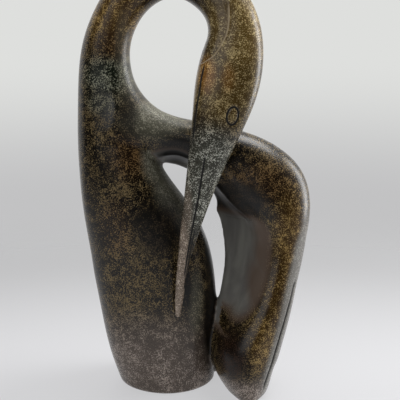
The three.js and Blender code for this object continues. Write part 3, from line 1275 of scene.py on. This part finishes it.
@dataclass(frozen=True)
class PaleSurface:
    """The plain pale floor, which glows a little and fades out at its edge, with painted light: paler and
    glowing more near the bird, dimmer further off.
    """

    middle: Pair
    reach: Pair
    # Painted light: near the bird the floor is paler and glows more, further off it is dimmer.
    near_colour: Colour = (0.16, 0.16, 0.165, 1.0)
    far_colour: Colour = (0.12, 0.12, 0.123, 1.0)
    near_glow: Colour = (0.50, 0.50, 0.51, 1.0)
    far_glow: Colour = (0.36, 0.36, 0.365, 1.0)
    far_range: Pair = (0.3, 0.65)
    fade_range: Pair = (0.5, 1.0)
    dull: float = 0.6

    def build(self) -> bpy.types.Material:
        """Makes the material.

        Returns:
            The material.
        """
        material = bpy.data.materials.new("pale_floor")
        tree = NodeTree(material)
        place = tree.node("ShaderNodeTexCoord", {}, {}, "Object")
        shift = (-self.middle[0] / self.reach[0], -self.middle[1] / self.reach[1], 0.0)
        scale = (1 / self.reach[0], 1 / self.reach[1], 1.0)
        share = tree.node("ShaderNodeMapping", {}, {"Vector": place, "Location": shift, "Scale": scale})
        distance = tree.node("ShaderNodeVectorMath", {"operation": "LENGTH"}, {0: share}, "Value")
        away = distance.rise(*self.far_range)
        colour = tree.blend(away, self.near_colour, self.far_colour)
        glow = tree.blend(away, self.near_glow, self.far_glow)
        inputs = {"Base Color": colour, "Roughness": self.dull, "Emission Color": glow}
        shader = tree.node("ShaderNodeBsdfPrincipled", {}, inputs | {"Emission Strength": 1.0})
        clear = tree.node("ShaderNodeBsdfTransparent", {}, {})
        mix = {0: distance.rise(*self.fade_range), 1: shader, 2: clear}
        tree.finish("ShaderNodeOutputMaterial", tree.node("ShaderNodeMixShader", {}, mix))
        return material


@dataclass(frozen=True)
class SoftBox:
    """A soft rectangular light that looks at the middle of the bird."""

    name: str
    place: Triple
    size: Pair
    power: float
    target: Triple = (0.0, 0.0, 0.19)

    def build(self) -> None:
        """Hangs the light."""
        data = bpy.data.lights.new(self.name, "AREA")
        data.shape = "RECTANGLE"
        data.size, data.size_y = self.size
        data.energy = self.power
        light = place_object(self.name, data)
        light.location = self.place
        facing = Vector(self.target) - Vector(self.place)
        light.rotation_euler = facing.to_track_quat("-Z", "Y").to_euler()
        light.visible_camera = False


@dataclass
class Studio:
    """The pale floor that fades into a pale room, the soft lights round the bird, and the camera."""

    floor_half: float = 2.4
    floor_middle: Pair = (0.0, -0.25)
    floor_reach: Pair = (1.3, 1.0)
    boxes: tuple[SoftBox, ...] = (
        SoftBox("overhead", (0.34, 0.12, 0.87), (0.42, 0.36), 4.6),
        SoftBox("front", (-0.45, -0.85, 0.8), (1.0, 1.0), 5.0),
        SoftBox("right", (0.68, 0.21, 0.33), (0.26, 0.66), 4.2),
        SoftBox("left", (-1.05, 0.35, 0.42), (0.6, 0.8), 0.8),
    )
    glow: float = 0.80
    dimness: float = 0.03
    side_share: float = 0.4
    top_share: float = 0.25
    glow_range: Pair = (-0.25, 0.55)
    backdrop_range: Pair = (-0.22, -0.05)
    backdrop_low: Colour = tone(194, 194, 195)
    backdrop_high: Colour = tone(222, 223, 221)
    camera_place: Triple = (0.0, -700.0, 331.0)
    camera_pitch: float = math.radians(13)
    focal_pixels: float = 805.0
    frame_pixels: float = 400.0
    sensor: float = 36.0

    def build(self) -> None:
        """Builds the floor, the lights and the camera."""
        self._floor()
        for box in self.boxes:
            box.build()
        self._surroundings()
        self._camera()
        bpy.context.scene.view_settings.view_transform = "Standard"

    def _floor(self) -> None:
        """Lays the floor."""
        mesh = bmesh.new()
        side = self.floor_half
        x, y = self.floor_middle
        corners = ((x - side, y - side), (x + side, y - side), (x + side, y + side), (x - side, y + side))
        mesh.faces.new([mesh.verts.new((*corner, 0.0)) for corner in corners])
        data = bpy.data.meshes.new("floor")
        mesh.to_mesh(data)
        mesh.free()
        data.materials.append(PaleSurface(middle=self.floor_middle, reach=self.floor_reach).build())
        floor = place_object("floor", data)

    def _surroundings(self) -> None:
        """Gives the room its glow: bright behind and at the right, dim in front, and pale to look at."""
        world = bpy.data.worlds.new("room")
        tree = NodeTree(world)
        direction = tree.node("ShaderNodeTexCoord", {}, {}, "Generated")
        x, y, z = (tree.node("ShaderNodeSeparateXYZ", {}, {0: direction}, axis) for axis in "XYZ")
        lit = (y + x * self.side_share + z * self.top_share).rise(*self.glow_range)
        light = {"Color": (1, 1, 1, 1), "Strength": self.dimness + lit * self.glow}
        backdrop = tree.blend(z.rise(*self.backdrop_range), self.backdrop_low, self.backdrop_high)
        mix = {
            0: tree.node("ShaderNodeLightPath", {}, {}, "Is Camera Ray"),
            1: tree.node("ShaderNodeBackground", {}, light),
            2: tree.node("ShaderNodeBackground", {}, {"Color": backdrop, "Strength": 1.0}),
        }
        tree.finish("ShaderNodeOutputWorld", tree.node("ShaderNodeMixShader", {}, mix))
        bpy.context.scene.world = world

    def _camera(self) -> None:
        """Places the camera at the photograph's viewing angle."""
        data = bpy.data.cameras.new("camera")
        data.sensor_width = self.sensor
        data.lens = self.sensor * self.focal_pixels / self.frame_pixels
        camera = place_object("camera", data)
        camera.location = (np.array(self.camera_place) - BOX_MIDDLE) * MM
        camera.rotation_euler = (math.pi / 2 - self.camera_pitch, 0, 0)
        bpy.context.scene.camera = camera


def main() -> None:
    """Builds the studio and the bird."""
    logging.basicConfig(level=logging.INFO, format="%(name)s after %(relativeCreated)d ms: %(message)s")
    Studio().build()
    LOG.info("studio built")
    carving = CraneCarving().build()
    carving.data.materials.append(SpeckledStone().build())
    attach(carving, BODY)
    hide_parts(NODE)
    LOG.info("bird carved with %d triangles", len(carving.data.polygons))


if __name__ == "__main__":
    main()
